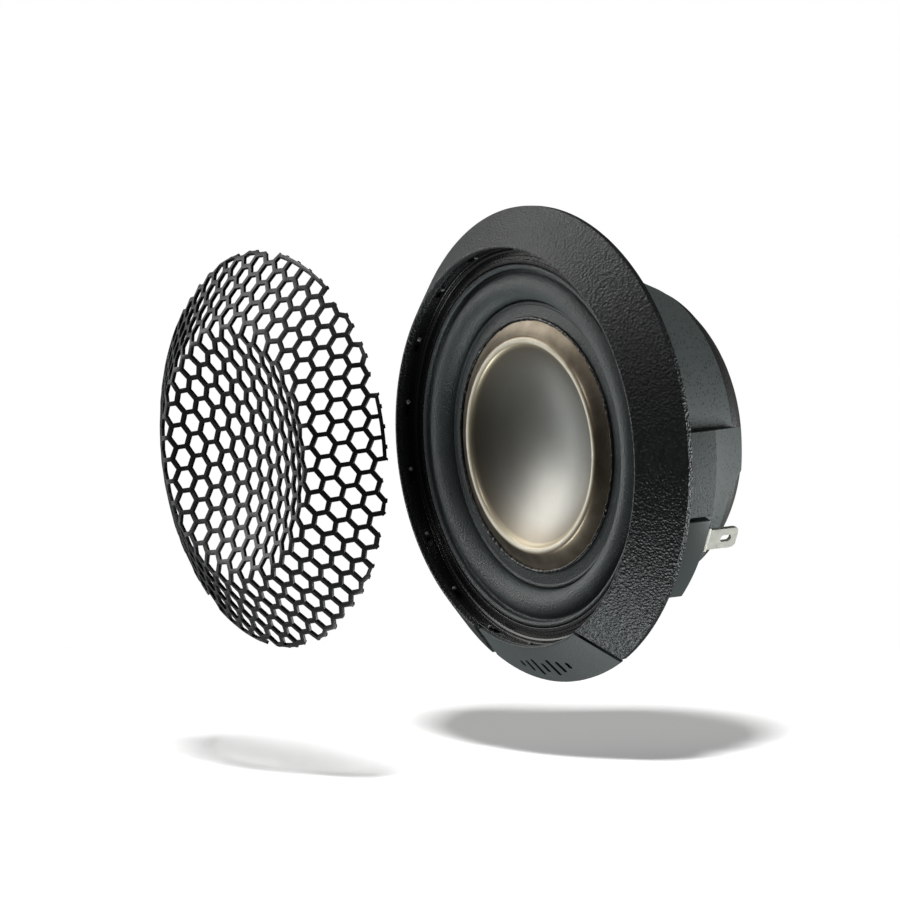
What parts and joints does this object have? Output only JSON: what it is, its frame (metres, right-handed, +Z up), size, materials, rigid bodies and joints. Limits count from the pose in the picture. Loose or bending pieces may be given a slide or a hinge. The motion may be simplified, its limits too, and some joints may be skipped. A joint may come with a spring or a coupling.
{
  "type": "car tweeter",
  "caption": "Flanged car tweeter with an M-shaped metal diaphragm, half-roll surround, tapered rear shell with tab terminals, and a formed honeycomb grille drawn off the front.",
  "frame": {"origin": "on the speaker axis, in the plane where the flange seats on its panel", "axes": "+Y along the speaker axis to the rear, front face towards -Y, +Z up, badge insert at the bottom"},
  "size_m": [0.06, 0.0664, 0.06],
  "materials": {
    "ring_texture": "coarse moulded grain, satin",
    "badge_plastic": "fine grain, satin",
    "chassis_black": "gloss black",
    "surround_foam": "fine grain, matte",
    "dome_metal": "satin, bronze tint on the annulus",
    "glue_black": "semi-gloss",
    "coil_former": "polyimide amber",
    "coil_copper": "enamelled copper",
    "copper": "plain copper",
    "felt": "felt",
    "plated_steel": "zinc plated",
    "magnet": "nickel plated",
    "foam": "open-cell foam",
    "housing_plastic": "fine speckled grain, satin",
    "cover_plastic": "fine grain, satin",
    "block_plastic": "smooth satin",
    "tin": "tin plated brass",
    "wire_sleeve_red": "red insulation",
    "wire_sleeve_black": "black insulation",
    "solder": "bright solder",
    "grille_paint": "black powder coat"
  },
  "bodies": {
    "root": {"trim_ring": "ring_texture", "badge_insert": "badge_plastic", "front_chassis": "chassis_black", "surround_clamp_ring": "chassis_black", "dome_damping_pad": "felt", "copper_cap": "copper", "pole_plate": "plated_steel", "magnet_disc": "magnet", "yoke_cup": "plated_steel", "rear_chamber_foam": "foam", "housing": "housing_plastic", "rear_cover": "cover_plastic", "terminal_block_right": "block_plastic", "terminal_block_left": "block_plastic", "terminal_right": "tin", "terminal_left": "tin", "lead_wire_right": "wire_sleeve_red", "lead_wire_left": "wire_sleeve_black", "solder_joints": "solder"},
    "diaphragm": {"dome": "dome_metal", "dome_adhesive": "glue_black", "surround": "surround_foam", "coil_former": "coil_former", "coil_winding": "coil_copper"},
    "grille": {"grille_mesh": "grille_paint"}
  },
  "joints": [
    {"name": "diaphragm_stroke", "type": "slide", "parent": "root", "child": "diaphragm", "axis": [0, -1, 0], "range_m": [-0.0004, 0.0004], "stiffness_N_per_m": 800, "deforming": ["surround"]},
    {"name": "grille_pull", "type": "slide", "parent": "root", "child": "grille", "axis": [-0.0166, -0.9968, 0.0782], "range_m": [-0.03797, 0]}
  ]
}
